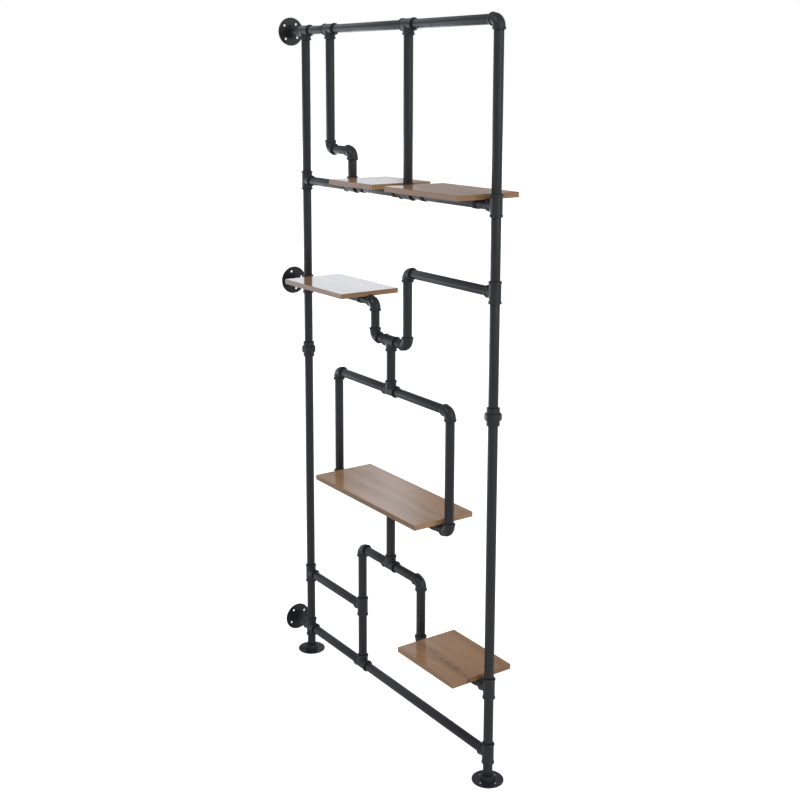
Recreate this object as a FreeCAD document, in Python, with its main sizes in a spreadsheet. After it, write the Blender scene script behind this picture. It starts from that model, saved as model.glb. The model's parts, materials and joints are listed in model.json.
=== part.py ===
import FreeCAD
import Part
import Sketcher
import math
import os

# Pipe shelving unit: threaded pipe, cast fittings and five boards. Millimetres, +Z up, the frame in the XZ
# plane, the floor at Z = 0 and the middle of the overall width at X = 0.

doc = FreeCAD.newDocument("pipe_shelving_unit")

driving = {
    # columns, measured along X
    "post_spacing": 957, "wall_reach": 95, "drop_in": 146, "offset_jog": 125,
    "hook_half": 84, "loop_half": 291, "frame_half": 157.5,
    # rises from one pipe axis to the next
    "bottom_rail_rise": 81, "low_shelf_rise": 193, "lower_bar_rise": 194, "mid_shelf_rise": 195,
    "loop_rise": 351, "left_union_rise": 777, "right_union_rise": 771, "hook_rise": 149,
    "hook_inlet_rise": 105, "hook_outlet_rise": 215, "upper_rail_rise": 227, "offset_rise": 107,
    "top_rail_rise": 471,
    # three-quarter inch pipe and the sockets that take it
    "pipe_od": 26.9, "pipe_wall": 2.3, "thread_gap": 0.15, "socket_depth": 12,
    # cast fittings with a rounded bead at every mouth
    "cast_wall": 2.9, "bead_rise": 1.75, "bead_len": 7, "tee_reach": 30, "elbow_reach": 27,
    "bend_radius": 19, "branch_ease": 0.3, "crotch_round": 3,
    # flanges
    "flange_dia": 89, "flange_plate": 3.5, "flange_height": 17, "hub_wall": 4.4, "hub_flare": 2.5,
    "flange_lip": 4, "flange_hole": 7.5, "flange_pcd": 60, "flange_round": 1.5,
    # three-piece unions
    "union_half": 24.8, "collar_wall": 4.4, "collar_round": 2.2, "union_thread": 39, "tail_flange": 6,
    "nut_wall": 2, "nut_len": 19.5, "nut_bevel": 3, "nut_rim": 1, "nut_gap": 0.3,
    # boards
    "board_depth": 205, "board_thick": 15, "board_rest": 0.1, "board_end_gap": 1, "loop_board_gap": 5,
    "board_round": 0.8, "short_inset": 30, "long_inset": 50,
    # saddle straps and their screws
    "strap_thick": 1.5, "strap_width": 20, "strap_gap": 0.1, "strap_ear": 20, "strap_hole": 4.2,
    "screw_shank": 3.5, "screw_head": 7.5, "screw_edge": 0.8, "screw_dome": 1.6, "screw_bite": 9,
    "pilot_gap": 0.1, "pilot_spare": 0.6,
}

sheet = doc.addObject("Spreadsheet::Sheet", "sizes")


class Size:
    # A length that keeps both its formula over the sheet and its present value
    def __init__(self, text, value):
        self.text = text
        self.value = value

    def __add__(self, other):
        return joined(self, "+", other)

    def __radd__(self, other):
        return joined(other, "+", self)

    def __sub__(self, other):
        return joined(self, "-", other)

    def __rsub__(self, other):
        return joined(other, "-", self)

    def __mul__(self, other):
        return joined(self, "*", other)

    def __rmul__(self, other):
        return joined(other, "*", self)

    def __truediv__(self, other):
        return joined(self, "/", other)

    def __neg__(self):
        return joined(0, "-", self)


def size_of(number):
    return number if isinstance(number, Size) else Size(repr(number), number)


def joined(first, sign, second):
    a = size_of(first)
    b = size_of(second)
    value = {"+": a.value + b.value, "-": a.value - b.value, "*": a.value * b.value}.get(sign)
    if sign == "/":
        value = a.value / b.value
    return Size(f"({a.text} {sign} {b.text})", value)


class Sizes:
    pass


size = Sizes()
for row, (alias, number) in enumerate(driving.items(), start=1):
    sheet.set(f"A{row}", alias)
    sheet.set(f"B{row}", str(number))
    sheet.setAlias(f"B{row}", alias)
    setattr(size, alias, Size(f"sizes.{alias}", number))
doc.recompute()

pipe_r = size.pipe_od / 2
socket_r = pipe_r + size.thread_gap
bore_r = pipe_r - size.pipe_wall
cast_r = socket_r + size.cast_wall
branch_r = cast_r - size.branch_ease
bead_r = cast_r + size.bead_rise
bead_arc = (size.bead_len * size.bead_len / 4 + size.bead_rise * size.bead_rise) / (2 * size.bead_rise)

full_turn = 360
quarter_turn = 90
diagonal = math.sqrt(0.5)
near = 0.001
crease_samples = 9
flange_hole_count = 4
# Half the angle of one side of the eight-sided union nut
half_side_angle = math.pi / 8
across = FreeCAD.Vector(0, 1, 0)
upright = FreeCAD.Vector(0, 0, 1)


def bind(thing, path, length):
    thing.setExpression(path, size_of(length).text)


def place(thing, x, y, z, turn=0, clock=0):
    # turn is about Y, in the plane of the frame; clock is about the piece's own axis
    thing.Placement.Rotation = FreeCAD.Rotation(across, turn) * FreeCAD.Rotation(upright, clock)
    for axis, length in zip("xyz", (x, y, z)):
        bind(thing, f"Placement.Base.{axis}", length)
    return thing


def point(x, y):
    return FreeCAD.Vector(size_of(x).value, size_of(y).value, 0)


def new_sketch(body, name, role):
    sketch = body.newObject("Sketcher::SketchObject", name)
    plane = next(item for item in body.Origin.OriginFeatures if item.Role == role)
    sketch.AttachmentSupport = [(plane, "")]
    sketch.MapMode = "FlatFace"
    return sketch


def dimension(sketch, constraint, length):
    index = sketch.addConstraint(constraint)
    sketch.setExpression(f"Constraints[{index}]", size_of(length).text)


def fix_point(sketch, edge, end, x, y):
    # A zero coordinate lies on the sketch's own axis, and any other is a driven distance
    for kind, axis, length in (("DistanceX", -2, x), ("DistanceY", -1, y)):
        if isinstance(length, Size):
            dimension(sketch, Sketcher.Constraint(kind, -1, 1, edge, end, length.value), length)
        else:
            sketch.addConstraint(Sketcher.Constraint("PointOnObject", edge, end, axis))


def draw_outline(sketch, corners):
    # Corners are (x, y), or (x, y, arc) where arc is the (radius, x, y) of the curved edge that starts there
    ends = []
    for index, corner in enumerate(corners):
        start = point(*corner[:2])
        finish = point(*corners[(index + 1) % len(corners)][:2])
        if len(corner) == 2:
            edge = sketch.addGeometry(Part.LineSegment(start, finish), False)
        else:
            radius, via_x, via_y = corner[2]
            edge = sketch.addGeometry(Part.Arc(start, point(via_x, via_y), finish), False)
        forward = (sketch.getPoint(edge, 1) - start).Length < (sketch.getPoint(edge, 2) - start).Length
        ends.append((edge, 1, 2) if forward else (edge, 2, 1))
    for index, (edge, first, last) in enumerate(ends):
        following = ends[(index + 1) % len(ends)]
        sketch.addConstraint(Sketcher.Constraint("Coincident", edge, last, following[0], following[1]))
    for (edge, first, last), corner in zip(ends, corners):
        fix_point(sketch, edge, first, *corner[:2])
        if len(corner) == 3:
            radius = corner[2][0]
            dimension(sketch, Sketcher.Constraint("Radius", edge, radius.value), radius)


def draw_circle(sketch, x, y, radius):
    circle = Part.Circle(point(x, y), upright, size_of(radius).value)
    edge = sketch.addGeometry(circle, False)
    fix_point(sketch, edge, 3, x, y)
    dimension(sketch, Sketcher.Constraint("Radius", edge, size_of(radius).value), radius)


def turned(body, name, corners, axis, kind="Revolution"):
    # A full revolution, or a groove, of an outline in the XZ plane
    sketch = new_sketch(body, name + "_outline", "XZ_Plane")
    draw_outline(sketch, corners)
    feature = body.newObject("PartDesign::" + kind, name)
    feature.Profile = sketch
    feature.ReferenceAxis = (sketch, [axis])
    feature.Angle = full_turn
    return feature


def flipped(corners):
    # The same outline along the other sketch axis
    return [(c[1], c[0]) if len(c) == 2 else (c[1], c[0], (c[2][0], c[2][2], c[2][1])) for c in corners]


def bead(start, wall_r):
    # The curved edge of a bead that starts at this distance along a barrel of this radius
    return (bead_arc, start + size.bead_len / 2, wall_r + size.bead_rise)


def through_barrel(reach, wall_r):
    inner = reach - size.bead_len
    return [(-reach, 0), (-reach, wall_r, bead(-reach, wall_r)), (-inner, wall_r),
            (inner, wall_r, bead(inner, wall_r)), (reach, wall_r), (reach, 0)]


def through_bore(reach):
    seat = reach - size.socket_depth
    return [(-reach, 0), (-reach, socket_r), (-seat, socket_r), (-seat, bore_r), (seat, bore_r),
            (seat, socket_r), (reach, socket_r), (reach, 0)]


def leg_barrel(start, reach, wall_r):
    inner = reach - size.bead_len
    return [(start, 0), (start, wall_r), (inner, wall_r, bead(inner, wall_r)), (reach, wall_r), (reach, 0)]


def leg_bore(reach):
    seat = reach - size.socket_depth
    return [(0, 0), (0, bore_r), (seat, bore_r), (seat, socket_r), (reach, socket_r), (reach, 0)]


def socket_bore(reach):
    seat = reach - size.socket_depth
    return [(seat, 0), (seat, socket_r), (reach, socket_r), (reach, 0)]


def new_form(name):
    return doc.addObject("PartDesign::Body", name + "_form")


def on_crease(spot):
    # Whether a point lies on both the run's wall and the branch's
    off_run = math.hypot(spot.y, spot.z) - cast_r.value
    off_branch = math.hypot(spot.x, spot.y) - branch_r.value
    return max(abs(off_run), abs(off_branch)) < near


def round_crotch(body, name):
    # Ease the crease where the branch leaves the run
    doc.recompute()
    crossing = body.Tip
    creases = [f"Edge{number}" for number, edge in enumerate(crossing.Shape.Edges, start=1)
               if all(on_crease(spot) for spot in edge.discretize(crease_samples))]
    rounded = body.newObject("PartDesign::Fillet", name)
    rounded.Base = (crossing, creases)
    bind(rounded, "Radius", size.crotch_round)


# Tee: run along X, branch up
def tee_form():
    body = new_form("tee")
    turned(body, "tee_run", through_barrel(size.tee_reach, cast_r), "H_Axis")
    turned(body, "tee_branch", flipped(leg_barrel(0, size.tee_reach, branch_r)), "V_Axis")
    round_crotch(body, "tee_crotch")
    turned(body, "tee_run_bore", through_bore(size.tee_reach), "H_Axis", "Groove")
    turned(body, "tee_branch_bore", flipped(leg_bore(size.tee_reach)), "V_Axis", "Groove")
    return body


# Cross: two runs, along X and along Z
def cross_form():
    body = new_form("cross")
    turned(body, "cross_run", through_barrel(size.tee_reach, cast_r), "H_Axis")
    turned(body, "cross_upright", flipped(through_barrel(size.tee_reach, branch_r)), "V_Axis")
    round_crotch(body, "cross_crotch")
    turned(body, "cross_run_bore", through_bore(size.tee_reach), "H_Axis", "Groove")
    turned(body, "cross_upright_bore", flipped(through_bore(size.tee_reach)), "V_Axis", "Groove")
    return body


def bend(body, name, radius, kind):
    # A quarter ring from the X leg to the Z leg, about an axis along Y
    sketch = new_sketch(body, name + "_section", "YZ_Plane")
    sketch.AttachmentOffset = FreeCAD.Placement(upright * size.bend_radius.value, FreeCAD.Rotation())
    bind(sketch, "AttachmentOffset.Base.z", size.bend_radius)
    draw_circle(sketch, 0, 0, radius)
    pivot = Part.LineSegment(point(-cast_r, size.bend_radius), point(cast_r, size.bend_radius))
    axis = sketch.addGeometry(pivot, True)
    fix_point(sketch, axis, 1, -cast_r, size.bend_radius)
    fix_point(sketch, axis, 2, cast_r, size.bend_radius)
    feature = body.newObject("PartDesign::" + kind, name)
    feature.Profile = sketch
    feature.ReferenceAxis = (sketch, ["Axis0"])
    feature.Angle = quarter_turn
    return feature


# Elbow: mouths towards +X and +Z
def elbow_form():
    body = new_form("elbow")
    bend(body, "elbow_bend", cast_r, "Revolution")
    leg = leg_barrel(size.bend_radius, size.elbow_reach, cast_r)
    turned(body, "elbow_leg", leg, "H_Axis")
    turned(body, "elbow_upright", flipped(leg), "V_Axis")
    bend(body, "elbow_bend_bore", bore_r, "Groove")
    turned(body, "elbow_socket", socket_bore(size.elbow_reach), "H_Axis", "Groove")
    turned(body, "elbow_upright_socket", flipped(socket_bore(size.elbow_reach)), "V_Axis", "Groove")
    return body


# Flange: fixing face at Z = 0, hub upwards, four screw holes
def flange_form():
    body = new_form("flange")
    rim = size.flange_dia / 2
    plate = size.flange_plate
    hub_r = socket_r + size.hub_wall
    eased = size.flange_round * (1 - diagonal)
    corner = (size.flange_round, rim - eased, plate - eased)
    turned(body, "flange_body", [
        (bore_r, 0), (rim, 0), (rim, plate - size.flange_round, corner), (rim - size.flange_round, plate),
        (hub_r + size.hub_flare, plate), (hub_r, size.flange_height), (socket_r, size.flange_height),
        (socket_r, size.flange_lip), (bore_r, size.flange_lip)], "V_Axis")
    sketch = new_sketch(body, "flange_hole_centre", "XY_Plane")
    hole_at = size.flange_pcd / 2 * diagonal
    draw_circle(sketch, hole_at, hole_at, size.flange_hole / 2)
    hole = body.newObject("PartDesign::Pocket", "flange_hole_cut")
    hole.Profile = sketch
    hole.Type = "ThroughAll"
    hole.Reversed = True
    ring = body.newObject("PartDesign::PolarPattern", "flange_holes")
    ring.Originals = [hole]
    ring.Axis = (sketch, ["N_Axis"])
    ring.Angle = full_turn
    ring.Occurrences = flange_hole_count
    body.Tip = ring
    return body


# Union: the head above and the tail below meet at Z = 0, and the nut draws them together
collar_r = socket_r + size.collar_wall
collar_seat = size.union_half - size.socket_depth


def collar_end(side):
    # The rounded end of a collar, from its wall round to its mouth
    eased = size.collar_round * (1 - diagonal)
    arc = (size.collar_round, collar_r - eased, side * (size.union_half - eased))
    return [(collar_r, side * (size.union_half - size.collar_round), arc),
            (collar_r - size.collar_round, side * size.union_half), (socket_r, side * size.union_half),
            (socket_r, side * collar_seat), (bore_r, side * collar_seat)]


def union_head_form():
    body = new_form("union_head")
    turned(body, "head_body", [
        (bore_r, 0), (size.union_thread / 2, 0), (size.union_thread / 2, size.nut_len / 2),
        (collar_r, size.nut_len / 2), *collar_end(1)], "V_Axis")
    return body


def union_tail_form():
    body = new_form("union_tail")
    turned(body, "tail_body", [
        (bore_r, 0), (size.union_thread / 2, 0), (size.union_thread / 2, -size.tail_flange),
        (collar_r, -size.tail_flange), *collar_end(-1)], "V_Axis")
    return body


def union_nut_form():
    body = new_form("union_nut")
    thread_r = size.union_thread / 2 + size.nut_gap
    flat = thread_r + size.nut_wall
    half_side = flat * math.tan(half_side_angle)
    half_len = size.nut_len / 2
    sketch = new_sketch(body, "nut_octagon", "XY_Plane")
    draw_outline(sketch, [
        (flat, -half_side), (flat, half_side), (half_side, flat), (-half_side, flat),
        (-flat, half_side), (-flat, -half_side), (-half_side, -flat), (half_side, -flat)])
    pad = body.newObject("PartDesign::Pad", "nut_block")
    pad.Profile = sketch
    pad.SideType = "Symmetric"
    bind(pad, "Length", size.nut_len)
    neck_r = collar_r + size.nut_gap
    shoulder = -(size.tail_flange + size.nut_gap)
    turned(body, "nut_bore", [
        (0, -half_len), (neck_r, -half_len), (neck_r, shoulder), (thread_r, shoulder),
        (thread_r, half_len), (0, half_len)], "V_Axis", "Groove")
    corner_r = flat / math.cos(half_side_angle)
    outside_r = 2 * corner_r
    for side, name in ((1, "nut_upper_bevel"), (-1, "nut_lower_bevel")):
        turned(body, name, [
            (thread_r + size.nut_rim, side * half_len), (corner_r, side * (half_len - size.nut_bevel)),
            (outside_r, side * (half_len - size.nut_bevel)), (outside_r, side * half_len)],
            "V_Axis", "Groove")
    return body


low_rest = pipe_r + size.board_rest
high_rest = bead_r + size.board_rest
strap_r = pipe_r + size.strap_gap
ear_hole_y = strap_r + size.strap_thick + size.strap_ear / 2


def quarter(radius, side):
    # The curved edge of a lower quarter circle about the origin
    return (radius, side * radius * diagonal, -radius * diagonal)


# Saddle strap: round the pipe from below, with an ear each side flat under the board
def strap_form(name, rest):
    body = new_form(name)
    sketch = new_sketch(body, name + "_outline", "YZ_Plane")
    outer = strap_r + size.strap_thick
    tip = outer + size.strap_ear
    under = rest - size.strap_thick
    draw_outline(sketch, [
        (strap_r, rest), (strap_r, 0, quarter(strap_r, 1)), (0, -strap_r, quarter(strap_r, -1)),
        (-strap_r, 0), (-strap_r, rest), (-tip, rest), (-tip, under), (-outer, under),
        (-outer, 0, quarter(outer, -1)), (0, -outer, quarter(outer, 1)), (outer, 0), (outer, under),
        (tip, under), (tip, rest)])
    pad = body.newObject("PartDesign::Pad", name + "_band")
    pad.Profile = sketch
    pad.SideType = "Symmetric"
    bind(pad, "Length", size.strap_width)
    holes = new_sketch(body, name + "_hole_centres", "XY_Plane")
    for side in (1, -1):
        draw_circle(holes, 0, side * ear_hole_y, size.strap_hole / 2)
    cut = body.newObject("PartDesign::Pocket", name + "_holes")
    cut.Profile = holes
    cut.Type = "ThroughAll"
    cut.Reversed = True
    return body


# Screw: shank upwards from its seat at Z = 0, domed head below
def screw_form():
    body = new_form("screw")
    shank_r = size.screw_shank / 2
    head_r = size.screw_head / 2
    dome_r = (head_r * head_r + size.screw_dome * size.screw_dome) / (2 * size.screw_dome)
    tip = size.strap_thick + size.screw_bite
    crown = size.screw_edge + size.screw_dome
    mid_angle = math.asin(head_r.value / dome_r.value) / 2
    mid = (dome_r * math.sin(mid_angle), dome_r * (1 - math.cos(mid_angle)) - crown)
    turned(body, "screw_body", [
        (0, tip), (0, -crown, (dome_r, *mid)), (head_r, -size.screw_edge), (head_r, 0),
        (shank_r, 0), (shank_r, tip - shank_r)], "V_Axis")
    return body


forms = {
    "tee": tee_form(), "cross": cross_form(), "elbow": elbow_form(), "flange": flange_form(),
    "union_head": union_head_form(), "union_tail": union_tail_form(), "union_nut": union_nut_form(),
    "low_strap": strap_form("low_strap", low_rest), "high_strap": strap_form("high_strap", high_rest),
    "screw": screw_form(),
}
doc.recompute()


def copy_of(kind, name):
    body = doc.addObject("PartDesign::Body", name)
    body.Label = name
    base = body.newObject("PartDesign::FeatureBase", name + "_copy")
    base.BaseFeature = forms[kind]
    body.Tip = base
    return body


mid_x = (size.wall_reach - size.flange_dia / 2) / 2
left_x = mid_x - size.post_spacing / 2
right_x = mid_x + size.post_spacing / 2
columns = {
    "wall": left_x - size.wall_reach, "left": left_x, "drop": left_x + size.drop_in,
    "offset": left_x + size.drop_in + size.offset_jog, "hook_left": mid_x - size.hook_half, "mid": mid_x,
    "hook_right": mid_x + size.hook_half, "loop_left": mid_x - size.loop_half,
    "loop_right": mid_x + size.loop_half, "frame_left": mid_x - size.frame_half,
    "frame_right": mid_x + size.frame_half, "right": right_x,
}
low_shelf_z = size.bottom_rail_rise + size.low_shelf_rise
lower_bar_z = low_shelf_z + size.lower_bar_rise
mid_shelf_z = lower_bar_z + size.mid_shelf_rise
loop_top_z = mid_shelf_z + size.loop_rise
hook_bottom_z = loop_top_z + size.hook_rise
hook_top_z = hook_bottom_z + size.hook_outlet_rise
upper_rail_z = hook_top_z + size.upper_rail_rise
levels = {
    "floor": 0, "bottom": size.bottom_rail_rise, "low_shelf": low_shelf_z, "lower_bar": lower_bar_z,
    "mid_shelf": mid_shelf_z, "loop_top": loop_top_z,
    "left_union": low_shelf_z + size.left_union_rise, "right_union": low_shelf_z + size.right_union_rise,
    "hook_bottom": hook_bottom_z, "upper_shelf": hook_bottom_z + size.hook_inlet_rise,
    "hook_top": hook_top_z, "upper_rail": upper_rail_z, "offset": upper_rail_z + size.offset_rise,
    "top": upper_rail_z + size.top_rail_rise,
}

# Turn of a tee by its branch, and of an elbow by its two mouths
tee_turn = {"up": 0, "right": 90, "down": 180, "left": 270}
elbow_turn = {"right up": 0, "right down": 90, "left down": 180, "left up": 270}

tees = {
    "top_left_tee": ("left", "top", "down"), "drop_tee": ("drop", "top", "down"),
    "hanger_tee": ("hook_right", "top", "down"), "left_upper_tee": ("left", "upper_rail", "right"),
    "left_lower_tee": ("left", "low_shelf", "right"), "right_upper_tee": ("right", "upper_rail", "left"),
    "right_hook_tee": ("right", "hook_top", "left"), "right_lower_tee": ("right", "low_shelf", "left"),
    "right_bottom_tee": ("right", "bottom", "left"), "offset_rail_tee": ("offset", "upper_rail", "up"),
    "hanger_rail_tee": ("hook_right", "upper_rail", "up"), "hook_tee": ("mid", "hook_bottom", "down"),
    "loop_top_tee": ("mid", "loop_top", "up"), "loop_bottom_tee": ("mid", "mid_shelf", "down"),
    "frame_top_tee": ("mid", "lower_bar", "up"), "frame_side_tee": ("frame_left", "low_shelf", "left"),
    "frame_foot_tee": ("frame_left", "bottom", "up"),
}
crosses = {"left_upper_cross": ("left", "upper_shelf"), "left_lower_cross": ("left", "bottom")}
elbows = {
    "top_right_elbow": ("right", "top", "left down"),
    "offset_upper_elbow": ("drop", "offset", "right up"),
    "offset_lower_elbow": ("offset", "offset", "left down"),
    "hook_inlet_elbow": ("hook_left", "upper_shelf", "left down"),
    "hook_left_elbow": ("hook_left", "hook_bottom", "right up"),
    "hook_right_elbow": ("hook_right", "hook_bottom", "left up"),
    "hook_outlet_elbow": ("hook_right", "hook_top", "right down"),
    "loop_top_left_elbow": ("loop_left", "loop_top", "right down"),
    "loop_top_right_elbow": ("loop_right", "loop_top", "left down"),
    "loop_bottom_left_elbow": ("loop_left", "mid_shelf", "right up"),
    "loop_bottom_right_elbow": ("loop_right", "mid_shelf", "left up"),
    "frame_left_elbow": ("frame_left", "lower_bar", "right down"),
    "frame_right_elbow": ("frame_right", "lower_bar", "left down"),
    "frame_foot_elbow": ("frame_right", "low_shelf", "right up"),
}
# Flanges by column, level and the clocking of their holes in degrees
flanges = {
    "wall_flange_top": ("wall", "top", 6), "wall_flange_middle": ("wall", "upper_shelf", -29),
    "wall_flange_bottom": ("wall", "bottom", -12), "floor_flange_left": ("left", "floor", 28),
    "floor_flange_right": ("right", "floor", -36),
}
# Unions by column, level and the clocking of their nuts in degrees
unions = {"left_union": ("left", "left_union", 14.5), "right_union": ("right", "right_union", 30)}

nodes = {}
junctions = {}
mouths = {}
seats = {}


def join_at(name, column, level, reach, seat):
    junctions[name] = (column, level)
    mouths[name] = reach
    seats[name] = seat


def fit(kind, name, column, level, turn=0, clock=0):
    nodes[name] = place(copy_of(kind, name), columns[column], 0, levels[level], turn, clock)


for name, (column, level, branch) in tees.items():
    fit("tee", name, column, level, tee_turn[branch])
    join_at(name, column, level, size.tee_reach, size.tee_reach - size.socket_depth)
for name, (column, level) in crosses.items():
    fit("cross", name, column, level)
    join_at(name, column, level, size.tee_reach, size.tee_reach - size.socket_depth)
for name, (column, level, open_to) in elbows.items():
    fit("elbow", name, column, level, elbow_turn[open_to])
    join_at(name, column, level, size.elbow_reach, size.elbow_reach - size.socket_depth)
for name, (column, level, clock) in flanges.items():
    fit("flange", name, column, level, quarter_turn if column == "wall" else 0, clock)
    join_at(name, column, level, size.flange_height, size.flange_lip)
for name, (column, level, clock) in unions.items():
    fit("union_head", name + "_head", column, level)
    fit("union_nut", name + "_nut", column, level, clock=clock)
    fit("union_tail", name + "_tail", column, level)
    join_at(name, column, level, size.union_half, size.union_half - size.socket_depth)

# Pipes, each from the seat in one fitting to the seat in the next, rightwards or upwards
pipe_runs = {
    "top_rail_pipes": [("wall_flange_top", "top_left_tee"), ("top_left_tee", "drop_tee"),
                       ("drop_tee", "hanger_tee"), ("hanger_tee", "top_right_elbow")],
    "left_post_pipes": [("floor_flange_left", "left_lower_cross"), ("left_lower_cross", "left_lower_tee"),
                        ("left_lower_tee", "left_union"), ("left_union", "left_upper_cross"),
                        ("left_upper_cross", "left_upper_tee"), ("left_upper_tee", "top_left_tee")],
    "right_post_pipes": [("floor_flange_right", "right_bottom_tee"), ("right_bottom_tee", "right_lower_tee"),
                         ("right_lower_tee", "right_union"), ("right_union", "right_hook_tee"),
                         ("right_hook_tee", "right_upper_tee"), ("right_upper_tee", "top_right_elbow")],
    "upper_rail_pipes": [("left_upper_tee", "offset_rail_tee"), ("offset_rail_tee", "hanger_rail_tee"),
                         ("hanger_rail_tee", "right_upper_tee")],
    "drop_pipes": [("offset_upper_elbow", "drop_tee"), ("offset_upper_elbow", "offset_lower_elbow"),
                   ("offset_rail_tee", "offset_lower_elbow"), ("hanger_rail_tee", "hanger_tee")],
    "hook_pipes": [("wall_flange_middle", "left_upper_cross"), ("left_upper_cross", "hook_inlet_elbow"),
                   ("hook_left_elbow", "hook_inlet_elbow"), ("hook_left_elbow", "hook_tee"),
                   ("hook_tee", "hook_right_elbow"), ("hook_right_elbow", "hook_outlet_elbow"),
                   ("hook_outlet_elbow", "right_hook_tee"), ("loop_top_tee", "hook_tee")],
    "loop_pipes": [("loop_top_left_elbow", "loop_top_tee"), ("loop_top_tee", "loop_top_right_elbow"),
                   ("loop_bottom_left_elbow", "loop_top_left_elbow"),
                   ("loop_bottom_right_elbow", "loop_top_right_elbow"),
                   ("loop_bottom_left_elbow", "loop_bottom_tee"),
                   ("loop_bottom_tee", "loop_bottom_right_elbow"), ("frame_top_tee", "loop_bottom_tee")],
    "lower_frame_pipes": [("frame_left_elbow", "frame_top_tee"), ("frame_top_tee", "frame_right_elbow"),
                          ("frame_side_tee", "frame_left_elbow"), ("frame_foot_tee", "frame_side_tee"),
                          ("left_lower_tee", "frame_side_tee"), ("frame_foot_elbow", "frame_right_elbow"),
                          ("frame_foot_elbow", "right_lower_tee")],
    "bottom_rail_pipes": [("wall_flange_bottom", "left_lower_cross"), ("left_lower_cross", "frame_foot_tee"),
                          ("frame_foot_tee", "right_bottom_tee")],
}

pipe_section = doc.addObject("Sketcher::SketchObject", "pipe_section")
draw_circle(pipe_section, 0, 0, pipe_r)
draw_circle(pipe_section, 0, 0, bore_r)


def pipe_between(name, first, second):
    column, level = junctions[first]
    far_column, far_level = junctions[second]
    level_run = level == far_level
    pipe = doc.addObject("Part::Extrusion", name)
    pipe.Label = name
    pipe.Base = pipe_section
    pipe.DirMode = "Custom"
    pipe.Dir = upright
    pipe.Solid = True
    if level_run:
        span = columns[far_column] - columns[column]
        place(pipe, columns[column] + seats[first], 0, levels[level], quarter_turn)
    else:
        span = levels[far_level] - levels[level]
        place(pipe, columns[column], 0, levels[level] + seats[first])
    bind(pipe, "LengthFwd", span - seats[first] - seats[second])
    return pipe


def grouped(name, members):
    group = doc.addObject("Part::Compound", name)
    group.Label = name
    group.Links = members
    nodes[name] = group


for run, pairs in pipe_runs.items():
    grouped(run, [pipe_between(f"{run}_{number}", *pair) for number, pair in enumerate(pairs, start=1)])

# Boards by the fittings at their ends, how they rest, and how far in their straps sit
boards = {
    "top_left_board": ("offset_rail_tee", "hanger_rail_tee", "low", size.short_inset),
    "top_right_board": ("hanger_rail_tee", "right_upper_tee", "low", size.long_inset),
    "upper_board": ("left_upper_cross", "hook_inlet_elbow", "low", size.long_inset),
    "middle_board": ("loop_bottom_left_elbow", "loop_bottom_right_elbow", "high", size.long_inset),
    "lower_board": ("frame_foot_elbow", "right_lower_tee", "low", size.short_inset),
}


def board_ends(first, second, rest):
    # A low board ends just clear of the mouths; a high one lies on the beads and ends clear of the uprights
    over_beads = bead_r + size.loop_board_gap
    gaps = [over_beads if rest == "high" else mouths[name] + size.board_end_gap for name in (first, second)]
    return columns[junctions[first][0]] + gaps[0], columns[junctions[second][0]] - gaps[1]


def board(name, length, inset):
    body = doc.addObject("PartDesign::Body", name)
    body.Label = name
    half_len = length / 2
    half_depth = size.board_depth / 2
    sketch = new_sketch(body, name + "_outline", "XY_Plane")
    draw_outline(sketch, [(-half_len, -half_depth), (half_len, -half_depth), (half_len, half_depth),
                          (-half_len, half_depth)])
    pad = body.newObject("PartDesign::Pad", name + "_panel")
    pad.Profile = sketch
    bind(pad, "Length", size.board_thick)
    doc.recompute()
    rounded = body.newObject("PartDesign::Fillet", name + "_banding")
    rounded.Base = (pad, [f"Edge{number}" for number in range(1, len(pad.Shape.Edges) + 1)])
    bind(rounded, "Radius", size.board_round)
    pilots = new_sketch(body, name + "_pilot_centres", "XY_Plane")
    for end in (1, -1):
        for side in (1, -1):
            draw_circle(pilots, end * (half_len - inset), side * ear_hole_y,
                        size.screw_shank / 2 + size.pilot_gap)
    cut = body.newObject("PartDesign::Pocket", name + "_pilots")
    cut.Profile = pilots
    cut.Reversed = True
    bind(cut, "Length", size.screw_bite + size.pilot_spare)
    return body


straps = []
screws = []
for name, (first, second, rest, inset) in boards.items():
    start, finish = board_ends(first, second, rest)
    level = levels[junctions[first][1]]
    height = high_rest if rest == "high" else low_rest
    nodes[name] = place(board(name, finish - start, inset), (start + finish) / 2, 0, level + height)
    for end, x in (("left", start + inset), ("right", finish - inset)):
        strap = copy_of(rest + "_strap", f"{name}_{end}_strap")
        straps.append(place(strap, x, 0, level))
        for side, y in (("front", -ear_hole_y), ("back", ear_hole_y)):
            screw = copy_of("screw", f"{name}_{end}_{side}_screw")
            screws.append(place(screw, x, y, level + height - size.strap_thick))
grouped("pipe_straps", straps)
grouped("strap_screws", screws)

doc.recompute()
for thing in doc.Objects:
    if "Invalid" in thing.State or "Error" in thing.State:
        raise RuntimeError(f"{thing.Label} did not rebuild: {thing.State}")
for name, thing in nodes.items():
    if thing.Shape.isNull() or not thing.Shape.isValid():
        raise RuntimeError(f"{name} has no valid shape")

os.makedirs("parts", exist_ok=True)
for name, thing in nodes.items():
    thing.Shape.exportStep(f"parts/{name}.step")
    solids = thing.Shape.Solids
    print(name, len(solids), "solids", round(thing.Shape.Volume), "cubic mm")
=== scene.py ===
import json
from math import cos, pi, radians, sin

import bmesh
import bpy
from mathutils import Matrix, Vector


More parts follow.
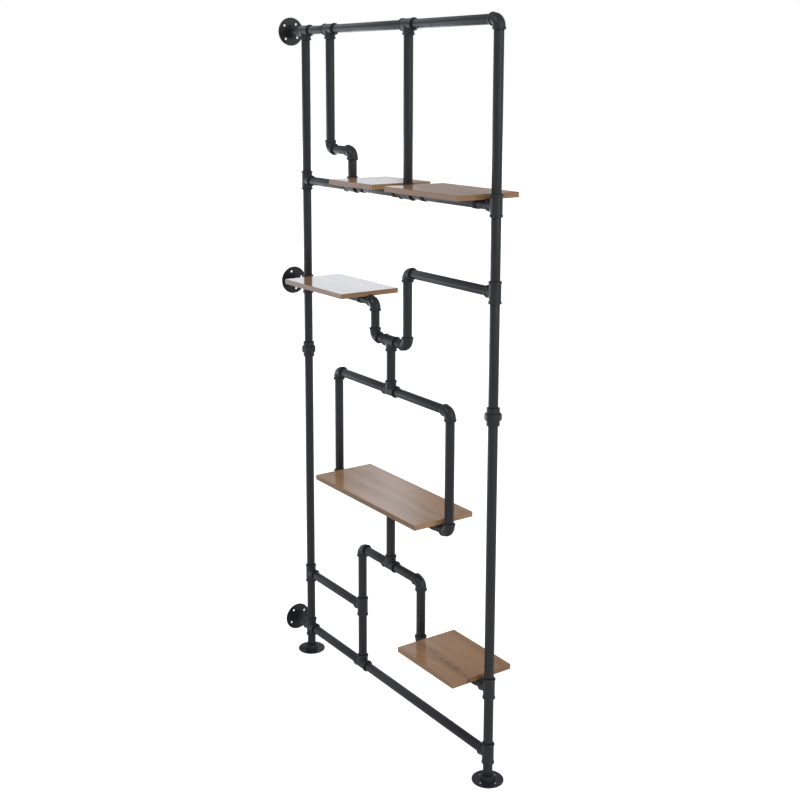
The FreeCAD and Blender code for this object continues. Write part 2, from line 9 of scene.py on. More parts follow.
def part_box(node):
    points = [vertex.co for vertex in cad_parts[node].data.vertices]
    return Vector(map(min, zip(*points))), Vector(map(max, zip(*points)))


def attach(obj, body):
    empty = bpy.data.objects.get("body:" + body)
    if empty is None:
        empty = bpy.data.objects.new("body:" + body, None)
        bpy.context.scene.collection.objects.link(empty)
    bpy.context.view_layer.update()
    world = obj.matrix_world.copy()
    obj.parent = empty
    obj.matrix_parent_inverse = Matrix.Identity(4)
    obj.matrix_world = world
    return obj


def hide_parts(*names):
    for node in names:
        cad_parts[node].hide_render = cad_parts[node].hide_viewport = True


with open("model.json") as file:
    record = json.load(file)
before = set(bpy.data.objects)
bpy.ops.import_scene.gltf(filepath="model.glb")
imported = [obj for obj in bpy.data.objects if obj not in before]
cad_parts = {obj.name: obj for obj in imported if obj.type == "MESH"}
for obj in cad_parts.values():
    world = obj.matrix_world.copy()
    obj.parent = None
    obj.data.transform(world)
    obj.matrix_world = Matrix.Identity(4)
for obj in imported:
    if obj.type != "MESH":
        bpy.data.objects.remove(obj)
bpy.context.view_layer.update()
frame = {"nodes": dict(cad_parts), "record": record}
nodes = frame["nodes"]
scene = bpy.context.scene
scene.view_settings.view_transform = "Standard"
weld = 1e-6                 # corners nearer than this are one


def addObject(name, data):
    made = bpy.data.objects.new(name, data)
    scene.collection.objects.link(made)
    return made


def aim(holder, line):                      # turn a camera or a lamp to look along a line
    holder.rotation_euler = line.to_track_quat("-Z", "Y").to_euler()


# Camera, solved from the pipe axes of the photograph
camera = {
    "place": (2.9202, -1.9832, 1.9277),
    "turn": 34.01,          # degrees from the frame's own line, seen from above
    "drop": 9.474,          # degrees below level
    "lens": 54.67,
    "sensor": 36,
    "shift": (0.0217, -0.1485),
}


def setCamera():
    lens = bpy.data.cameras.new("photo_camera")
    lens.lens = camera["lens"]
    lens.sensor_width = camera["sensor"]
    lens.shift_x, lens.shift_y = camera["shift"]
    turn, drop = radians(camera["turn"]), radians(camera["drop"])
    holder = addObject("photo_camera", lens)
    holder.location = camera["place"]
    aim(holder, Vector((-cos(turn) * cos(drop), sin(turn) * cos(drop), -sin(drop))))
    scene.camera = holder


setCamera()
print("camera set")


# A socket of a node tree, with arithmetic
class Wire:
    def __init__(self, tree, socket=None):
        self.tree = tree
        self.socket = socket

    def node(self, kind, settings=None, inputs=None, out=0):
        made = self.tree.nodes.new(kind)
        for key, value in (settings or {}).items():
            if key == "stops":
                ramp = made.color_ramp.elements
                for index, (place, colour) in enumerate(value):
                    stop = ramp[index] if index < 2 else ramp.new(place)
                    stop.position = place
                    stop.color = (*colour, 1)
            else:
                setattr(made, key, value)
        for key, value in (inputs or {}).items():
            if isinstance(value, Wire):
                self.tree.links.new(value.socket, made.inputs[key])
            else:
                made.inputs[key].default_value = value
        return Wire(self.tree, made.outputs[out] if len(made.outputs) else None)

    def math(self, operation, first, second=0.0):
        return self.node("ShaderNodeMath", {"operation": operation}, {0: first, 1: second})

    def __add__(self, other):
        return self.math("ADD", self, other)

    def __sub__(self, other):
        return self.math("SUBTRACT", self, other)

    def __rsub__(self, other):
        return self.math("SUBTRACT", other, self)

    def __mul__(self, other):
        return self.math("MULTIPLY", self, other)

    __radd__ = __add__
    __rmul__ = __mul__

    def most(self, other):
        return self.math("MAXIMUM", self, other)

    def least(self, other):
        return self.math("MINIMUM", self, other)

    def size(self):
        return self.math("ABSOLUTE", self)

    def step(self, low, high, first=0.0, last=1.0):     # soft step between two values
        return self.node("ShaderNodeMapRange", {"interpolation_type": "SMOOTHSTEP"},
                         {0: self, 1: low, 2: high, 3: first, 4: last})

    def spread(self, first=0.0, last=1.0, cut=0.3):     # soft step over the usual range of a noise
        return self.step(cut, 1 - cut, first, last)

    def toward(self, first, second):                    # this value mixes two colours
        return self.node("ShaderNodeMix", {"data_type": "RGBA"},
                         {0: self, 6: colour4(first), 7: colour4(second)}, 2)

    def tinted(self, mask, tint):                       # a colour multiplied by a tint under a mask
        return self.node("ShaderNodeMix", {"data_type": "RGBA", "blend_type": "MULTIPLY"},
                         {0: mask, 6: self, 7: colour4(tint)}, 2)

    def stretch(self, factors):                         # a vector scaled along each axis
        return self.node("ShaderNodeVectorMath", {"operation": "MULTIPLY"}, {0: self, 1: factors})

    def away(self, spot):                               # how far a vector is from a place
        return self.node("ShaderNodeVectorMath", {"operation": "DISTANCE"}, {0: self, 1: spot}, "Value")

    def noise(self, scale, detail=2.0, rough=0.5, bend=0.0):
        return self.node("ShaderNodeTexNoise", {},
                         {"Vector": self, "Scale": scale, "Detail": detail, "Roughness": rough,
                          "Distortion": bend}, "Fac")

    def bump(self, strength, depth):
        return self.node("ShaderNodeBump", {}, {"Height": self, "Strength": strength, "Distance": depth})


def colour4(value):
    return value if isinstance(value, Wire) else (*value, 1)


def partsOf(wire, vector):
    return [wire.node("ShaderNodeSeparateXYZ", {}, {0: vector}, axis) for axis in range(3)]


def mostOf(wires):
    found = wires[0]
    for other in wires[1:]:
        found = found.most(other)
    return found


def newMaterial(name):
    made = bpy.data.materials.new(name)
    made.use_nodes = True
    made.node_tree.nodes.clear()
    wire = Wire(made.node_tree)
    place = wire.node("ShaderNodeTexCoord", out="Object")
    return made, wire, place


def finishMaterial(made, wire, inputs):
    shader = wire.node("ShaderNodeBsdfPrincipled", {}, inputs)
    wire.node("ShaderNodeOutputMaterial", {}, {"Surface": shader})
    return made


# Satin black powder coat on smooth steel pipe
pipeCoat = {
    "dark": (0.0073, 0.0083, 0.0106),
    "light": (0.0107, 0.0120, 0.0152),
    "gloss": (0.38, 0.46),
    "specular": 0.5,
    "clouds": (14, 3),      # patches to a metre, and their detail
    "cloudShare": 0.6,      # of the tone; the grain has the rest
    "grain": (950, 3, 0.55),    # grains to a metre, their detail and how rough that is
    "grainGloss": 0.12,     # how far the grain changes the gloss
    "bump": (0.35, 0.00006),    # strength and depth
}

# A darker, duller coat on the bent straps
strapCoat = {
    **pipeCoat,
    "dark": (0.0060, 0.0064, 0.0074),
    "light": (0.0090, 0.0095, 0.0108),
    "gloss": (0.40, 0.52),
    "specular": 0.2,
}

# The same coat on sand-cast iron, with the grain of the mould and its pits under it
castCoat = {
    "dark": (0.0070, 0.0080, 0.0102),
    "light": (0.0112, 0.0126, 0.0158),
    "gloss": (0.33, 0.42),
    "specular": 0.5,
    "clouds": (22, 4),
    "cloudShare": 0.5,
    "grain": (620, 4, 0.6),
    "grainGloss": 0.16,
    "bump": (0.28, 0.00016),
    "pits": 170,            # to a metre
    "pitEdge": (0.04, 0.22),    # from the floor of a pit to its rim
    "relief": (0.8, 0.35),  # how much of it is grain, and how much is pits
}


def makeCoat(name, coat):
    made, wire, place = newMaterial(name)
    clouds = place.noise(*coat["clouds"])
    grain = relief = place.noise(*coat["grain"])
    if "pits" in coat:
        pits = wire.node("ShaderNodeTexVoronoi", {}, {"Vector": place, "Scale": coat["pits"]}, "Distance")
        grainShare, pitShare = coat["relief"]
        relief = grain * grainShare + pits.step(*coat["pitEdge"]) * pitShare
    mixed = clouds.spread() * coat["cloudShare"] + grain.spread() * (1 - coat["cloudShare"])
    return finishMaterial(made, wire, {
        "Base Color": mixed.toward(coat["dark"], coat["light"]),
        "Roughness": clouds.spread(*coat["gloss"], cut=0.25) + (grain - 0.5) * coat["grainGloss"],
        "Specular IOR Level": coat["specular"],
        "Normal": relief.bump(*coat["bump"]),
    })


# Oak grain laminate under a clear satin overlay; the grain runs along each board and along its edge bands
oak = {
    "streak": (0.120, 0.060, 0.029),
    "dark": (0.196, 0.107, 0.054),
    "brown": (0.256, 0.147, 0.079),
    "pale": (0.304, 0.184, 0.106),
    "stops": ((0.10, "dark"), (0.90, "pale"), (0.50, "brown")),
    "blush": (1.02, 0.965, 0.92),   # redder zones of the print
    "endBand": (1.34, 1.33, 1.27),  # the strips on the two ends are lighter
    "endGrain": 0.2,        # how fast the grain of those changes along the board
    "sideBandsAndShade": {          # those along the two sides vary from board to board; on the middle board they are darkened as painted shade
        "top_left_board": (0.97, 0.99, 1.0),
        "top_right_board": (0.96, 0.90, 0.74),
        "upper_board": (0.96, 0.98, 1.0),
        # painted shade: the middle board's side faces are darkened as if in shade
        "middle_board": (0.78, 0.79, 0.82),
        "lower_board": (1.09, 1.10, 1.09),
    },
    "faces": {"top_right_board": (1.09, 1.05, 0.97)},   # a board with lighter faces
    "dusk": {               # a board that darkens towards a corner
        "board": "lower_board",
        "centre": (0.46, 0.09),
        "reach": 0.24,
        "tone": (0.84, 0.83, 0.80),
    },
    "gloss": (0.140, 0.155),
    "flawGloss": 0.03,
    "glueLine": 0.0012,     # from each face to the joint of the edge band
    "layers": {             # of the print: grains to a metre on each axis, detail, how rough, how bent
        "drift": ((2.6, 5, 9), 2, 0.5),
        "zones": ((0.9, 13, 13), 2, 0.45, 0.3),
        "blush": ((1.5, 10, 10), 2, 0.5, 0.4),
        "fibre": ((7, 260, 260), 4, 0.6),
        "pores": ((40, 1400, 1400), 1),
        "veins": ((1.3, 7, 9), 3, 0.5, 0.5),
        "gaps": ((6, 5, 7), 1),
        "wander": ((26, 1, 1), 3),
        "patches": ((55, 3, 3), 2),
    },
    "edges": {              # where soft steps begin and end
        "side": (0.6, 0.8),
        "glueSide": (0.5, 0.8),
        "glue": (0.0002, 0.0007),
        "zones": (0.42, 0.58),
        "blush": (0.47, 0.60),
        "pores": (0.62, 0.74),
        "veins": (0.002, 0.014),
        "gaps": (0.50, 0.62),
        "patches": (0.42, 0.56),
    },
    "figure": {"zones": 0.40, "rings": 0.10, "fibre": 0.26, "drift": 0.24},     # shares of each
    "ringTurn": 300,        # radians of the growth rings to a metre across
    "ringDrift": 60,        # and how far the drift shifts them
    "knotReach": 5.0,       # times longer along the grain than across
    "knotCore": 0.2,        # of a knot's width
    "swellReach": 5,        # knot widths to where the grain runs straight again
    "swellPush": 0.012,     # how far a knot pushes the rings aside
    "veinPush": 0.03,       # and the veins
    "knots": {              # how far along and across each board, and how wide
        "top_left_board": ((-0.080, 0.018, 0.0045),),
        "top_right_board": ((0.240, 0.050, 0.0030), (0.410, -0.028, 0.0045)),
        "upper_board": ((-0.330, 0.034, 0.0040), (0.010, -0.052, 0.0030)),
        "middle_board": ((0.218, 0.003, 0.0050), (-0.160, 0.040, 0.0030)),
        "lower_board": ((0.357, -0.042, 0.0045), (0.422, -0.046, 0.0030), (0.248, -0.034, 0.0050)),
    },
    "split": {              # a long crack in the print of one board
        "board": "lower_board",
        "from": 0.225,
        "fadeIn": 0.037,
        "across": -0.0178,
        "slant": -0.060,
        "wander": 0.016,
        "seam": (0.0012, 0.0090),
        "stain": (0.003, 0.024),
        "faint": 0.15,      # what is left of it between its patches
    },
    "darken": {             # how far each mark goes to the streak's colour
        "crack": 0.45,
        "seam": 0.85,
        "stain": 0.38,
        "knot": 0.75,
        "swell": 0.34,
        "pores": 0.16,
        "glue": 0.60,
    },
    "sunk": ("crack", "seam", "knot", "glue"),
    "bump": (0.03, 0.00005),
}


def makeOak(board):
    made, wire, place = newMaterial("oak_on_" + board)
    low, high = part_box(board)
    middle, half = (low[2] + high[2]) / 2, (high[2] - low[2]) / 2
    edges = oak["edges"]
    x, y, z = partsOf(wire, place)
    facing = [part.size() for part in partsOf(wire, wire.node("ShaderNodeTexCoord", out="Normal"))]
    end, side, flat = [part.step(*edges["side"]) for part in facing]
    across = wire.node("ShaderNodeCombineXYZ", {}, {0: y, 1: x * oak["endGrain"], 2: z})
    along = wire.node("ShaderNodeMix", {"data_type": "VECTOR"}, {0: end, 4: place, 5: across}, 1)

    def layer(name):
        reach, *noise = oak["layers"][name]
        return along.stretch(reach).noise(1.0, *noise)

    squeezed = place.stretch((1 / oak["knotReach"], 1, 1))
    knot = swell = 0.0
    for spotX, spotY, width in oak["knots"][board]:
        away = squeezed.away((spotX / oak["knotReach"], spotY, high[2]))
        knot = away.step(width * oak["knotCore"], width, 1.0, 0.0) + knot
        swell = away.step(0.0, width * oak["swellReach"], 1.0, 0.0) + swell
    drift, zones, fibre = layer("drift"), layer("zones"), layer("fibre")
    turn = (partsOf(wire, along)[1] + swell * oak["swellPush"]) * oak["ringTurn"] + drift * oak["ringDrift"]
    rings = turn.math("SINE", turn) * 0.5 + 0.5
    share = oak["figure"]
    figure = zones.step(*edges["zones"]) * share["zones"] + rings * share["rings"]
    figure = figure + fibre.spread(cut=0.25) * share["fibre"] + drift.spread() * share["drift"]
    stops = [(spot, oak[name]) for spot, name in oak["stops"]]
    tone = wire.node("ShaderNodeValToRGB", {"stops": stops}, {0: figure})
    # the side-band tint also paints shade on the middle board's sides
    tints = [(layer("blush").step(*edges["blush"]), oak["blush"]),
             (end, oak["endBand"]),
             (side, oak["sideBandsAndShade"][board])]
    if board in oak["faces"]:
        tints.append((flat, oak["faces"][board]))
    dusk = oak["dusk"]
    if board == dusk["board"]:
        away = place.away((*dusk["centre"], high[2]))
        tints.append((away.step(0.0, dusk["reach"], 1.0, 0.0), dusk["tone"]))
    for mask, tint in tints:
        tone = tone.tinted(mask, tint)
    vein = (layer("veins") + swell * oak["veinPush"] - 0.5).size()
    glue = ((z - middle).size() - (half - oak["glueLine"])).size().step(*edges["glue"], 1.0, 0.0)
    marks = {
        "crack": (1 - vein.step(*edges["veins"])) * layer("gaps").step(*edges["gaps"]),
        "knot": knot,
        "swell": swell,
        "pores": layer("pores").step(*edges["pores"]),
        "glue": glue * facing[2].step(*edges["glueSide"], 1.0, 0.0),
    }
    split = oak["split"]
    if board == split["board"]:
        wander = (layer("wander") - 0.5) * split["wander"]
        off = (y - split["across"] - x * split["slant"] + wander).size()
        reach = x.step(split["from"], split["from"] + split["fadeIn"])
        patches = layer("patches").step(*edges["patches"], split["faint"], 1.0)
        for name in ("seam", "stain"):
            marks[name] = (1 - off.step(*split[name])) * reach * patches
    flaw = mostOf([mark * oak["darken"][name] for name, mark in marks.items()])
    sunk = mostOf([mark for name, mark in marks.items() if name in oak["sunk"]])
    return finishMaterial(made, wire, {
        "Base Color": flaw.toward(tone, oak["streak"]),
        "Roughness": fibre.spread(*oak["gloss"]) + flaw * oak["flawGloss"],
        "Normal": (1 - sunk).bump(*oak["bump"]),
    })


# Bright zinc on the screws, with faint lathe rings
zinc = {
    "dull": (0.36, 0.36, 0.37),
    "bright": (0.62, 0.62, 0.63),
    "gloss": (0.26, 0.42),
    "blotches": (520, 3),
    "lathe": (2600, 2),
    "latheReach": (1, 1, 4),
    "bump": (0.2, 0.00004),
}


def makeZinc(name):
    made, wire, place = newMaterial(name)
    turned = place.stretch(zinc["latheReach"]).noise(*zinc["lathe"])
    return finishMaterial(made, wire, {
        "Base Color": place.noise(*zinc["blotches"]).spread().toward(zinc["dull"], zinc["bright"]),
        "Metallic": 1.0,
        "Roughness": turned.spread(*zinc["gloss"], cut=0.25),
        "Normal": turned.bump(*zinc["bump"]),
    })


finishes = {
    "black_pipe": makeCoat("black_pipe_coat", pipeCoat),
    "black_casting": makeCoat("black_casting_coat", castCoat),
    "screw_steel": makeZinc("bright_zinc"),
}
for part in frame["record"]["subparts"]:
    slots = nodes[part["node"]].data.materials
    slots.clear()
    wood = part["material_slot"] == "oak_board"
    slots.append(makeOak(part["node"]) if wood else finishes[part["material_slot"]])
print("finishes on %d nodes" % len(nodes))


# Each separate solid of a node, as the low and high corners of its box
def solidsOf(name):
    bm = bmesh.new()
    bm.from_mesh(nodes[name].data)
    bmesh.ops.remove_doubles(bm, verts=bm.verts, dist=weld)
    found = []
    left = set(bm.verts)
    while left:
        wave = [left.pop()]
        corners = []
        while wave:
            corner = wave.pop()
            corners.append(corner.co.copy())
            for edge in corner.link_edges:
                other = edge.other_vert(corner)
                if other in left:
                    left.remove(other)
                    wave.append(other)
        low = Vector([min(c[axis] for c in corners) for axis in range(3)])
        high = Vector([max(c[axis] for c in corners) for axis in range(3)])
        found.append((low, high))
    bm.free()
    return sorted(found, key=lambda box: tuple(round(value, 5) for value in box[0]))


# A finished mesh becomes a piece that stands for a node and rides on the frame
def addPiece(bm, name, node, slot, sharp):
    for face in bm.faces:
        face.smooth = True
    for edge in bm.edges:
        edge.smooth = len(edge.link_faces) == 2 and edge.calc_face_angle() < radians(sharp)
    mesh = bpy.data.meshes.new(name)
    bm.to_mesh(mesh)
    bm.free()
    mesh.materials.append(finishes[slot])
    piece = addObject(name, mesh)
    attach(piece, "frame")
    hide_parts(node)
    return piece


# Pipe lengths, turned about their own lines, with eased ends and an open bore
tube = {
    "sides": 96,
    "wall": 0.0023,
    "ease": 0.0008,
    "easeSteps": 3,
    "sharp": 60,            # degrees between two faces that meet in a rim
}


def addTube(bm, low, high):
    size = high - low
    axis = max(range(3), key=lambda i: size[i])
    middle = (low + high) / 2
    line, out = Vector(), Vector()
    line[axis] = 1
    out[(axis + 1) % 3] = 1
    outer = max(size[i] for i in range(3) if i != axis) / 2
    inner = outer - tube["wall"]
    ring = []
    for radius, end in ((outer, -1), (outer, 1), (inner, 1), (inner, -1)):
        ring.append(bm.verts.new(middle + line * end * size[axis] / 2 + out * radius))
    edges = [bm.edges.new((ring[i], ring[(i + 1) % 4])) for i in range(4)]
    bmesh.ops.spin(bm, geom=ring + edges, cent=middle, axis=line, angle=2 * pi,
                   steps=tube["sides"], use_merge=True)


def makeTubes(node):
    bm = bmesh.new()
    for low, high in solidsOf(node):
        addTube(bm, low, high)
    bmesh.ops.remove_doubles(bm, verts=bm.verts, dist=weld)
    bmesh.ops.recalc_face_normals(bm, faces=bm.faces)
    rims = [e for e in bm.edges if e.calc_face_angle() > radians(tube["sharp"])]
    bmesh.ops.bevel(bm, geom=rims, offset=tube["ease"], offset_type="OFFSET", affect="EDGES",
                    segments=tube["easeSteps"], profile=0.5, material=-1)
    addPiece(bm, node.replace("_pipes", "_tubes"), node, "black_pipe", tube["sharp"])


pipeRuns = sorted(name for name in nodes if name.endswith("_pipes"))
for run in pipeRuns:
    makeTubes(run)
print("tubes for %d pipe runs" % len(pipeRuns))


# Two-hole straps: a band under the pipe, bent out into rounded ears against the board
strap = {
    "thick": 0.0015,
    "inner": 0.01355,       # radius of the band's inside
    "arcSteps": 20,         # in each half of the band
    "bend": 0.0030,         # outside of the bend between leg and ear
    "bendSteps": 6,
    "earRound": 0.0070,
    "earSteps": 8,
    "tipSlack": 1e-5,       # how near to the end of an ear its corners lie
    "rim": 50,              # degrees between two faces that meet in a rim
    "ease": 0.0003,
    "easeSteps": 2,
    "sharp": 40,
}


def grow(bm, vert, move):                   # draw an edge on from a loose end
    made = bmesh.ops.extrude_vert_indiv(bm, verts=[vert])["verts"][0]
    bmesh.ops.translate(bm, verts=[made], vec=move)
    return made


def turnOn(bm, vert, centre, angle, steps):  # draw an arc on from a loose end
    made = bmesh.ops.spin(bm, geom=[vert], cent=centre, axis=(1, 0, 0), angle=angle, steps=steps)
    return next(item for item in made["geom_last"] if isinstance(item, bmesh.types.BMVert))


def addStrap(low, high):
    bm = bmesh.new()
    inner, bend = strap["inner"], strap["bend"]
    axisZ = low.z + inner + strap["thick"]
    legTop = high.z - bend
    for side in (-1, 1):
        foot = bm.verts.new((low.x, 0, axisZ - inner))
        hip = turnOn(bm, foot, (low.x, 0, axisZ), side * pi / 2, strap["arcSteps"])
        knee = grow(bm, hip, (0, 0, legTop - axisZ))
        out = -1 if knee.co.y < 0 else 1
        ear = turnOn(bm, knee, (low.x, knee.co.y + out * bend, legTop), -side * pi / 2, strap["bendSteps"])
        grow(bm, ear, (0, out * (high.y - abs(ear.co.y)), 0))
    bmesh.ops.remove_doubles(bm, verts=bm.verts, dist=weld)
    band = bmesh.ops.extrude_edge_only(bm, edges=bm.edges[:])["geom"]
    moved = [item for item in band if isinstance(item, bmesh.types.BMVert)]
    bmesh.ops.translate(bm, verts=moved, vec=(high.x - low.x, 0, 0))
    tips = [v for v in bm.verts if abs(abs(v.co.y) - high.y) < strap["tipSlack"]]
    bmesh.ops.bevel(bm, geom=tips, offset=strap["earRound"], offset_type="OFFSET", affect="VERTICES",
                    segments=strap["earSteps"], profile=0.5, material=-1)
    bmesh.ops.recalc_face_normals(bm, faces=bm.faces)
    arch = min(bm.faces, key=lambda face: face.calc_center_median().z)
    if arch.normal.z < 0:
        bmesh.ops.reverse_faces(bm, faces=bm.faces)
    bmesh.ops.solidify(bm, geom=bm.faces[:], thickness=strap["thick"])
    bmesh.ops.recalc_face_normals(bm, faces=bm.faces)
    rims = [e for e in bm.edges if e.calc_face_angle(0) > radians(strap["rim"])]
    bmesh.ops.bevel(bm, geom=rims, offset=strap["ease"], offset_type="OFFSET", affect="EDGES",
                    segments=strap["easeSteps"], profile=0.5, material=-1)
    return bm


def joined(parts):                          # several meshes as one
    whole = bmesh.new()
    for part in parts:
        spare = bpy.data.meshes.new("spare")
        part.to_mesh(spare)
        part.free()
        whole.from_mesh(spare)
        bpy.data.meshes.remove(spare)
    return whole


bands = solidsOf("pipe_straps")
bent = joined([addStrap(*box) for box in bands])
strapSet = addPiece(bent, "strap_bands", "pipe_straps", "black_pipe", strap["sharp"])
strapSet.data.materials[0] = makeCoat("black_strap_coat", strapCoat)
print("%d straps bent" % len(bands))


# Pan head screws with a cross recess, driven up through the ears
screw = {
    "slot": 0.00055,        # half the width of the cross
    "reach": 0.0021,
    "depth": 0.0013,
    "taper": 0.6,
    "head": 0.0024,         # how high
    "rings": (              # radius and height down the head, then down the shank to its point
        (0.0031, 0.0021),
        (0.00362, 0.0014),
        (0.00375, 0.0006),
        (0.00370, 0.0),
        (0.00175, 0.0),
        (0.00175, -0.009),
        (0.0003, -0.0105),
    ),
    "turnStep": 37,         # degrees from one screw to the next
    "sharp": 50,
    "crease": 0.8,          # how well the sharp edges keep when the mesh is rounded
    "rounding": 1,
}


def addScrew(low, high, turn):
    bm = bmesh.new()
    crease = bm.edges.layers.float.new("crease_edge")
    bmesh.ops.create_grid(bm, x_segments=3, y_segments=3, size=1)
    for vert in bm.verts:
        inside = [abs(value) < 0.5 for value in vert.co[:2]]
        spot = Vector([(screw["slot"] if within else screw["reach"]) * (1 if value > 0 else -1)
                       for value, within in zip(vert.co[:2], inside)])
        if not all(inside):
            spot = spot.normalized() * screw["reach"]
        vert.co = (spot.x, spot.y, screw["head"])
    cross = [f for f in bm.faces
             if min(abs(f.calc_center_median().x), abs(f.calc_center_median().y)) < screw["slot"]]
    rim = [e for e in bm.edges if e.is_boundary]
    sunk = bmesh.ops.extrude_face_region(bm, geom=cross)["geom"]
    floor = [item for item in sunk if isinstance(item, bmesh.types.BMVert)]
    bmesh.ops.translate(bm, verts=floor, vec=(0, 0, -screw["depth"]))
    bmesh.ops.scale(bm, verts=floor, vec=(screw["taper"], screw["taper"], 1))
    bmesh.ops.delete(bm, geom=cross, context="FACES_ONLY")
    for radius, height in screw["rings"]:
        made = bmesh.ops.extrude_edge_only(bm, edges=rim)["geom"]
        rim = [item for item in made if isinstance(item, bmesh.types.BMEdge)]
        for vert in {v for edge in rim for v in edge.verts}:
            spot = Vector(vert.co[:2]).normalized() * radius
            vert.co = (spot.x, spot.y, height)
    bmesh.ops.contextual_create(bm, geom=rim)
    bmesh.ops.recalc_face_normals(bm, faces=bm.faces)
    for edge in bm.edges:
        if edge.calc_face_angle(0) > radians(screw["sharp"]):
            edge[crease] = screw["crease"]
    place = Matrix.Translation(((low.x + high.x) / 2, (low.y + high.y) / 2, low.z + screw["head"]))
    place = place @ Matrix.Rotation(pi, 4, "X") @ Matrix.Rotation(radians(turn), 4, "Z")
    bmesh.ops.transform(bm, matrix=place, verts=bm.verts)
    return bm


fixings = solidsOf("strap_screws")
screws = joined([addScrew(*box, index * screw["turnStep"]) for index, box in enumerate(fixings)])
screwSet = addPiece(screws, "strap_screw_set", "strap_screws", "screw_steel", screw["sharp"])
rounding = screwSet.modifiers.new("rounding", "SUBSURF")
rounding.levels = rounding.render_levels = screw["rounding"]
print("%d screws driven" % len(fixings))


# Floor and room: the camera sees them white, and gloss shows them at the levels set here
studio = {
    "floor": 30.0,          # half its width
    "floorSteps": 8,
    "floorTone": (0.58, 0.58, 0.58),
    "mottle": (3, 2),       # patches of the floor to a metre, and their detail
    "mottleTone": (0.97, 1.0),
    "lift": 0.72,           # white that the floor adds where the camera sees it
    "sky": 0.46,            # soft light from all round
    "overhead": 0.80,       # and more from above
    "overheadRise": (0.0, 0.9),
    "tint": (0.87, 0.96, 1.15),     # of the gloss
    "tintShare": 0.3,       # how much of it the room takes
    "room": 0.33,           # what gloss shows of the room
    "open": 0.42,           # more on the side towards the camera
    "openX": (-0.1, 0.7),
    "pale": 0.50,           # more on the side towards the wall flanges
    "paleX": (-0.85, -0.65),
    "paleY": (0.0, 0.35),
    "high": 0.90,           # and higher up there
    "highY": (-0.3, -0.05),
    "highZ": (0.2, 0.5),
    "litEnd": 35.2,         # degrees behind the frame, where the lit side ends
}

# Painted light: the floor far off at the side of the wall flanges glows as if a lamp lit it, and only gloss
# sees it
paintedFloorGlow = {
    "front": 1.35,
    "frontX": (-3.8, -1.5),     # where it fades towards the unit
    "back": 4.5,
    "backX": (-4.2, -2.0),
    "backY": (-0.7, -0.3),      # where the front of it passes into the back
    "end": (-0.15, 0.10),
}

# The lit panel behind the frame, as gloss sees it, by the direction of the look
panel = {
    "glow": 1.60,
    "tint": (0.86, 0.985, 1.09),
    "lean": 0.05,               # how far the far end leans out with height
    "far": (-0.020, 0.001),
    "nearRise": 0.72,           # the near end leans in with height
    "nearStart": 0.258,
    "nearLimit": -0.042,
    "near": (-0.02, 0.02),
    "foot": (0.03, 0.18),       # below this it is dim
    "footLevel": 0.10,
    "top": (0.27, 0.57),
    "side": (-0.5, -0.3),
    "barFrom": (0.22, 0.28),    # a dark bar crosses it
    "barTo": (0.309, 0.328),
    "aboveBar": 1.25,
}


def seenBy(wire):
    return [wire.node("ShaderNodeLightPath", out=name) for name in ("Is Camera Ray", "Is Glossy Ray")]


def pastEnd(x, y):                          # above zero beyond the end of the lit side
    end = radians(studio["litEnd"])
    return x * sin(end) + y * cos(end)


def makeFloor():
    bm = bmesh.new()
    steps = studio["floorSteps"]
    bmesh.ops.create_grid(bm, x_segments=steps, y_segments=steps, size=studio["floor"])
    mesh = bpy.data.meshes.new("studio_floor")
    bm.to_mesh(mesh)
    bm.free()
    floor = addObject("studio_floor", mesh)
    made, wire, place = newMaterial("pale_floor")
    eye, glossy = seenBy(wire)
    x, y = partsOf(wire, place)[:2]
    mottle = place.noise(*studio["mottle"]).spread(*studio["mottleTone"])
    matt = wire.node("ShaderNodeBsdfDiffuse", {}, {"Color": mottle.toward((0, 0, 0), studio["floorTone"])})
    # painted light: a pool of glow on the floor that only glossy rays see and no lamp casts
    back = y.step(*paintedFloorGlow["backY"])
    front = 1 - back
    shine = front * x.step(*paintedFloorGlow["frontX"], paintedFloorGlow["front"], 0.0)
    shine = shine + back * x.step(*paintedFloorGlow["backX"], paintedFloorGlow["back"], 0.0)
    shine = shine * pastEnd(x, y).step(*paintedFloorGlow["end"], 1.0, 0.0)
    glow = wire.node("ShaderNodeEmission", {}, {
        "Color": (glossy * front).toward((1, 1, 1), studio["tint"]),
        "Strength": eye * studio["lift"] + glossy * shine,
    })
    both = wire.node("ShaderNodeAddShader", {}, {0: matt, 1: glow})
    wire.node("ShaderNodeOutputMaterial", {}, {"Surface": both})
    mesh.materials.append(made)


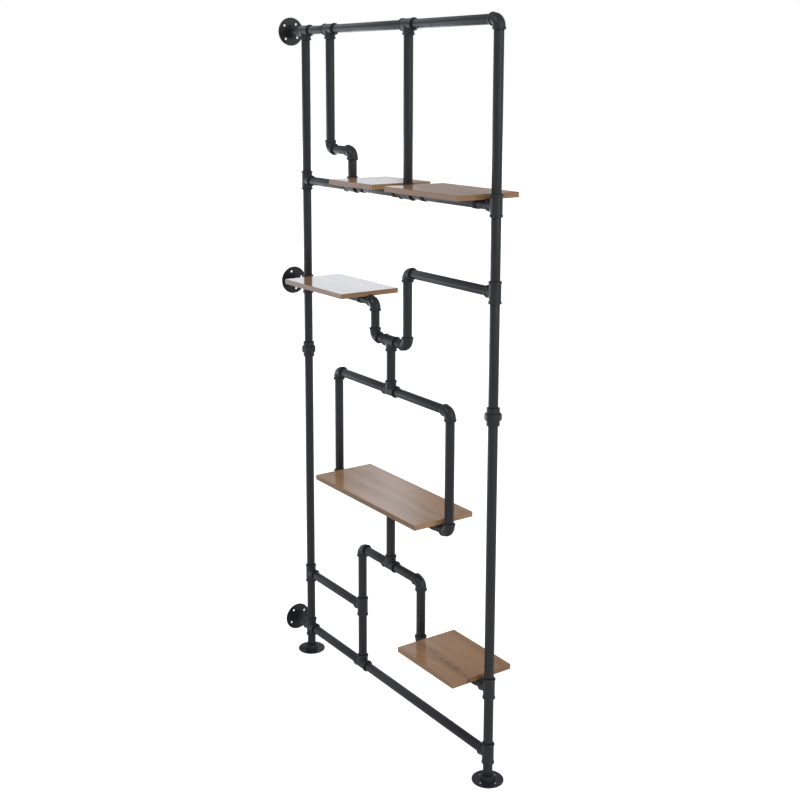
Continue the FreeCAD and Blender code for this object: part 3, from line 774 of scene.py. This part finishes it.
def makeWorld():
    world = bpy.data.worlds.new("studio_world")
    world.use_nodes = True
    world.node_tree.nodes.clear()
    wire = Wire(world.node_tree)
    eye, glossy = seenBy(wire)
    x, y, z = partsOf(wire, wire.node("ShaderNodeTexCoord", out="Generated"))
    past = pastEnd(x, y)
    near = (z * panel["nearRise"] - panel["nearStart"]).least(panel["nearLimit"])
    lit = (past - z * panel["lean"]).step(*panel["far"], 1.0, 0.0) * (past - near).step(*panel["near"])
    lit = lit * z.step(*panel["foot"], panel["footLevel"], 1.0) * z.step(*panel["top"], 1.0, 0.0)
    lit = lit * x.step(*panel["side"], 1.0, 0.0)
    lit = lit * (z.step(*panel["barFrom"], 1.0, 0.0) + z.step(*panel["barTo"], 0.0, panel["aboveBar"]))
    wall = x.step(*studio["paleX"], 1.0, 0.0) * y.step(*studio["paleY"], 1.0, 0.0)
    wall = wall * (z.step(*studio["highZ"]) * y.step(*studio["highY"]) * studio["high"] + studio["pale"])
    shine = studio["room"] + x.step(*studio["openX"]) * studio["open"] + wall + lit * panel["glow"]
    soft = z.step(*studio["overheadRise"], studio["sky"], studio["sky"] + studio["overhead"])
    level = eye + glossy * shine + (1 - eye.most(glossy)) * soft
    tone = (glossy * studio["tintShare"]).toward((1, 1, 1), studio["tint"])
    tone = (glossy * lit).toward(tone, panel["tint"])
    sky = wire.node("ShaderNodeBackground", {}, {"Color": tone, "Strength": level})
    wire.node("ShaderNodeOutputWorld", {}, {"Surface": sky})
    scene.world = world


lamps = {
    "front_softbox": {"place": (0.0, -2.3, 3.8), "aim": (0, 0, 1.0), "size": 1.2, "watts": 15},
    "side_softbox": {"place": (3.4, 0.6, 2.3), "aim": (0, 0, 1.2), "size": 2.6, "watts": 23},
}


def makeLamps():
    for name, lamp in lamps.items():
        light = bpy.data.lights.new(name, "AREA")
        light.size = lamp["size"]
        light.energy = lamp["watts"]
        holder = addObject(name, light)
        holder.location = lamp["place"]
        aim(holder, Vector(lamp["aim"]) - Vector(lamp["place"]))


makeFloor()
makeWorld()
makeLamps()
print("studio lit by %d lamps" % len(lamps))
